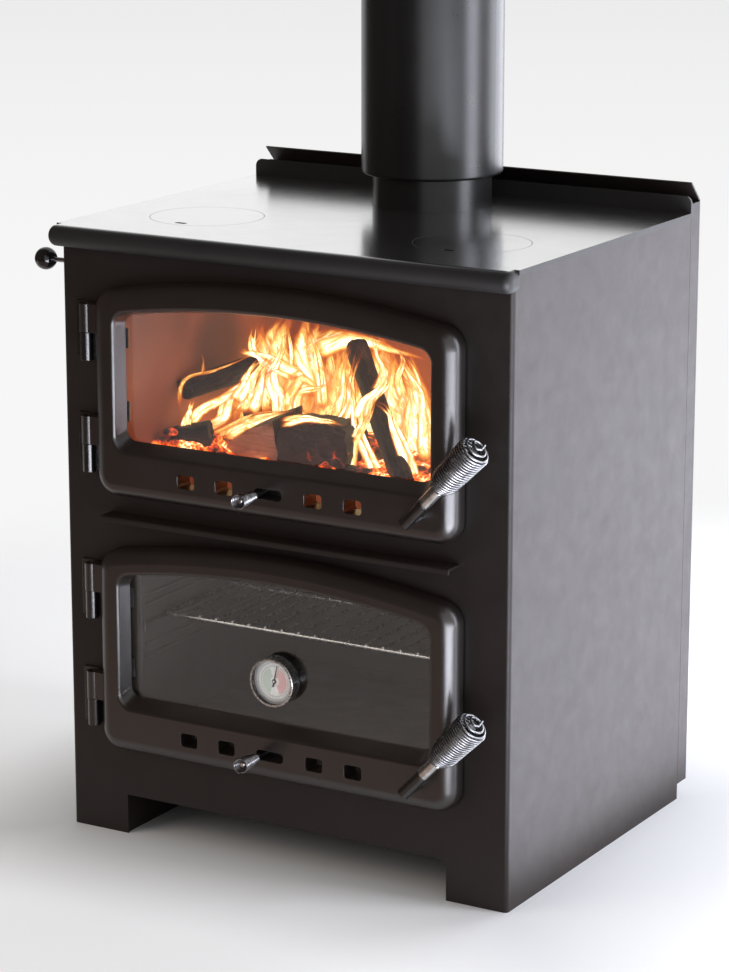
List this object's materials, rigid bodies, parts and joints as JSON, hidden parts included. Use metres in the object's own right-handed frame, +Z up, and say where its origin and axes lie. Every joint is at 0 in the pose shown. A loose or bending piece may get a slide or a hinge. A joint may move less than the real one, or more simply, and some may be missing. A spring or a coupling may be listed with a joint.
{
  "type": "wood cook stove",
  "caption": "Free-standing wood cook stove: glazed arched firebox and oven doors, flat cooktop with lift-out lids, rear heat shield and a cased flue pipe.",
  "frame": {"origin": "on the floor, under the middle of the body's width and depth, in the plane of the base frame's underside", "axes": "+X to the stove's right seen from the front, +Y to the rear, +Z up; the front panel's face is at y = -0.233"},
  "size_m": [0.687, 0.5722, 1.2],
  "materials": {
    "panel_paint": "satin brown-black stove paint",
    "cooktop_steel": "semi-gloss black",
    "flue_paint": "satin black",
    "door_iron": "satin black-brown casting",
    "hardware_iron": "satin black",
    "inner_steel": "dull dark steel",
    "firebrick": "matt brick",
    "door_glass": "clear",
    "rope_seal": "matt rope",
    "fixing_steel": "dull zinc",
    "bright_steel": "bright",
    "grip_wire": "darkened spring wire",
    "chrome_wire": "bright plated wire",
    "gauge_chrome": "polished",
    "gauge_face": "matt cream",
    "gauge_needle": "matt black",
    "knob_black": "gloss black"
  },
  "bodies": {
    "stove": {"front_panel": "panel_paint", "side_panel_left": "panel_paint", "side_panel_right": "panel_paint", "rear_panel": "panel_paint", "base_frame": "panel_paint", "base_plate": "panel_paint", "cooktop": "cooktop_steel", "hotplate_rings": "inner_steel", "flue_spigot": "inner_steel", "flue_pipe": "flue_paint", "flue_casing": "flue_paint", "casing_spacers": "inner_steel", "rear_heat_shield": "panel_paint", "shield_fixings": "fixing_steel", "ash_lip": "panel_paint", "hinge_knuckles": "hardware_iron", "hinge_pins": "fixing_steel", "latch_keepers": "fixing_steel", "firebox_shell": "inner_steel", "firebrick_left": "firebrick", "firebrick_right": "firebrick", "firebrick_rear": "firebrick", "firebrick_floor": "firebrick", "baffle": "firebrick", "oven_liner": "inner_steel", "oven_runners": "inner_steel", "airwash_duct": "inner_steel"},
    "fire_door": {"fire_door_frame": "door_iron", "fire_door_glass": "door_glass", "fire_door_seal": "rope_seal", "fire_door_fixings": "fixing_steel"},
    "oven_door": {"oven_door_frame": "door_iron", "oven_door_glass": "door_glass", "oven_door_seal": "rope_seal", "oven_door_fixings": "fixing_steel", "thermometer_case": "gauge_chrome", "thermometer_dial": "gauge_face", "thermometer_lens": "door_glass", "thermometer_stem": "bright_steel"},
    "thermometer_pointer": {"thermometer_needle": "gauge_needle"},
    "lid_left": {"hotplate_lid_left": "cooktop_steel"},
    "lid_right": {"hotplate_lid_right": "cooktop_steel"},
    "rack": {"oven_rack": "chrome_wire"},
    "airwash": {"airwash_slide": "inner_steel", "airwash_rod": "fixing_steel", "airwash_knob": "knob_black"},
    "fire_handle": {"fire_handle_lever": "hardware_iron", "fire_handle_ferrule": "bright_steel", "fire_handle_grip": "grip_wire", "fire_latch_cam": "fixing_steel"},
    "fire_slide": {"fire_slide_plate": "inner_steel", "fire_slide_lever": "bright_steel", "fire_slide_grip": "grip_wire"},
    "oven_handle": {"oven_handle_lever": "hardware_iron", "oven_handle_ferrule": "bright_steel", "oven_handle_grip": "grip_wire", "oven_latch_cam": "fixing_steel"},
    "oven_slide": {"oven_slide_plate": "inner_steel", "oven_slide_lever": "bright_steel", "oven_slide_grip": "grip_wire"}
  },
  "joints": [
    {"name": "fire_door_swing", "type": "hinge", "parent": "stove", "child": "fire_door", "pos_m": [-0.266, -0.247, 0.5705], "axis": [0, 0, -1], "range_deg": [0, 110]},
    {"name": "fire_handle_turn", "type": "hinge", "parent": "fire_door", "child": "fire_handle", "pos_m": [0.204, -0.286, 0.4745], "axis": [0, 1, 0], "range_deg": [0, 75]},
    {"name": "fire_air_slide", "type": "slide", "parent": "fire_door", "child": "fire_slide", "axis": [1, 0, 0], "range_m": [0, 0.024]},
    {"name": "oven_door_swing", "type": "hinge", "parent": "stove", "child": "oven_door", "pos_m": [-0.266, -0.247, 0.2455], "axis": [0, 0, -1], "range_deg": [0, 110]},
    {"name": "oven_handle_turn", "type": "hinge", "parent": "oven_door", "child": "oven_handle", "pos_m": [0.204, -0.286, 0.1495], "axis": [0, 1, 0], "range_deg": [0, 75]},
    {"name": "oven_air_slide", "type": "slide", "parent": "oven_door", "child": "oven_slide", "axis": [1, 0, 0], "range_m": [0, 0.024]},
    {"name": "thermometer_turn", "type": "hinge", "parent": "oven_door", "child": "thermometer_pointer", "pos_m": [0, -0.249, 0.24], "axis": [0, 1, 0], "range_deg": [-147, 123], "stiffness_Nm_per_rad": 0.0005},
    {"name": "lid_left_lift", "type": "slide", "parent": "stove", "child": "lid_left", "axis": [0, 0, 1], "range_m": [0, 0.06]},
    {"name": "lid_right_lift", "type": "slide", "parent": "stove", "child": "lid_right", "axis": [0, 0, 1], "range_m": [0, 0.06]},
    {"name": "rack_slide", "type": "slide", "parent": "stove", "child": "rack", "axis": [0, -1, 0], "range_m": [0, 0.055]},
    {"name": "airwash_pull", "type": "slide", "parent": "stove", "child": "airwash", "axis": [-1, 0, 0], "range_m": [0, 0.024]}
  ]
}
